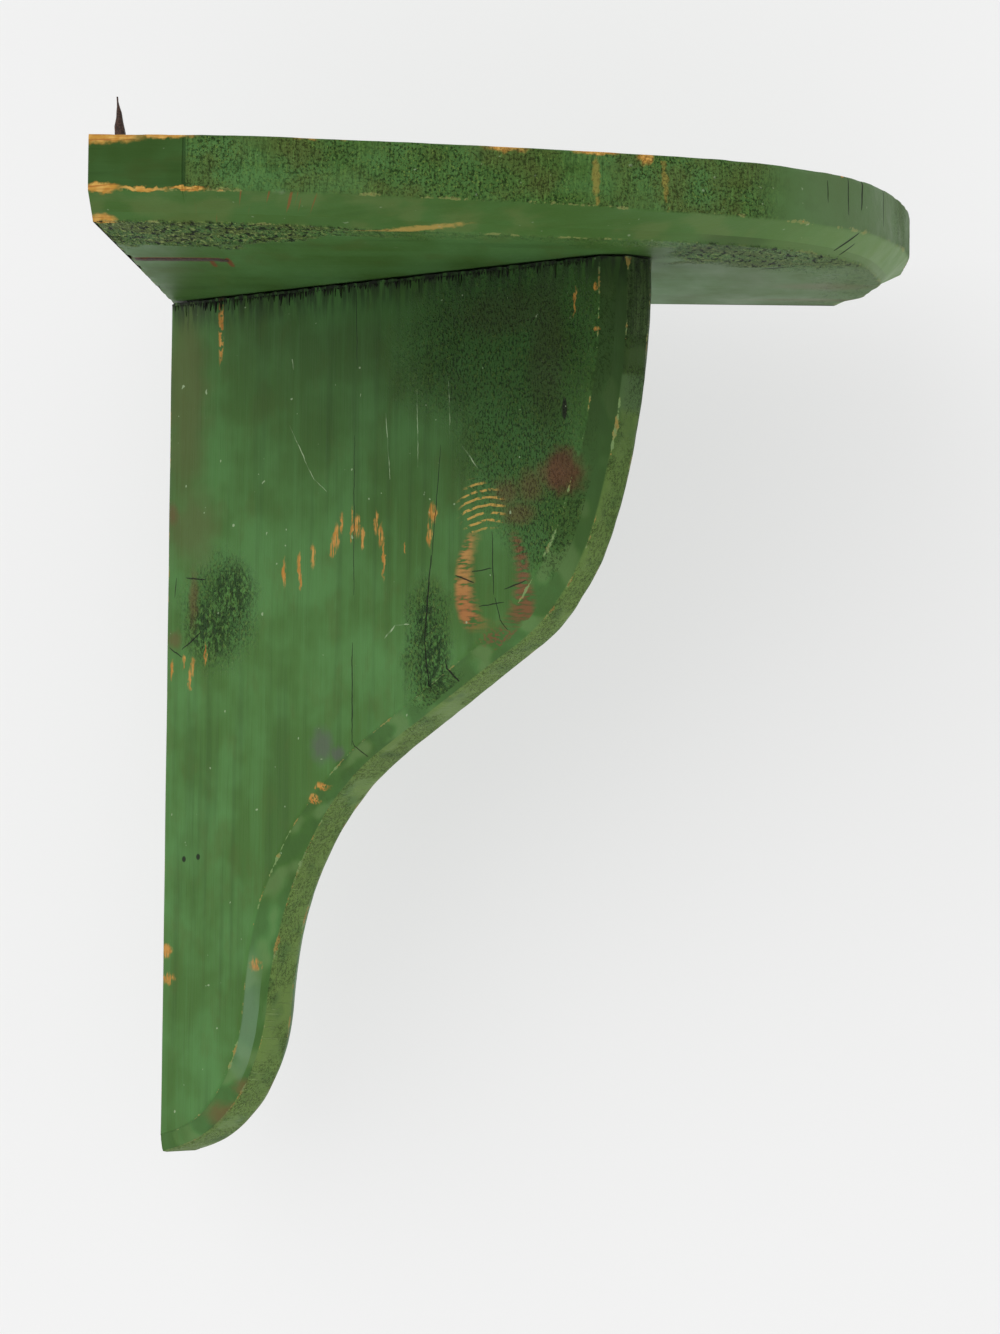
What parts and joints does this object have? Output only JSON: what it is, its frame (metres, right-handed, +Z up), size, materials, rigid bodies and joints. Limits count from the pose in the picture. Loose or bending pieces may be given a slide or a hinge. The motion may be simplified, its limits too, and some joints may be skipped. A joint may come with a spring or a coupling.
{
  "type": "corner shelf with bracket",
  "caption": "Painted pine corner shelf: a bowed quarter-plan board on an S-curved bracket plank, with iron spikes for hanging it in the corner of two walls.",
  "frame": {"origin": "the room corner at the level of the board's underside, where the bracket's top meets the board", "axes": "+Z up; -X into the left wall, which is the plane X = 0; +Y into the right wall, which is the plane Y = 0; the bracket stands on the line Y = -X, and the shelf's front faces +X and -Y"},
  "size_m": [0.3019, 0.306, 0.404],
  "materials": {
    "painted_board": "old green oil paint over pine, satin, worn to bare wood along the arrises",
    "painted_bracket": "old green oil paint over pine, satin, with knots and grain showing through",
    "nail_iron": "dull rusted iron",
    "forged_iron": "hand-forged iron with dark brown rust"
  },
  "bodies": {
    "root": {"shelf_board": "painted_board", "corner_bracket": "painted_bracket", "board_nail_rear": "nail_iron", "board_nail_middle": "nail_iron", "board_nail_front": "nail_iron", "wall_spike_left": "forged_iron", "wall_spike_right": "forged_iron", "spike_tack_left": "nail_iron", "spike_tack_right": "nail_iron"}
  },
  "joints": []
}
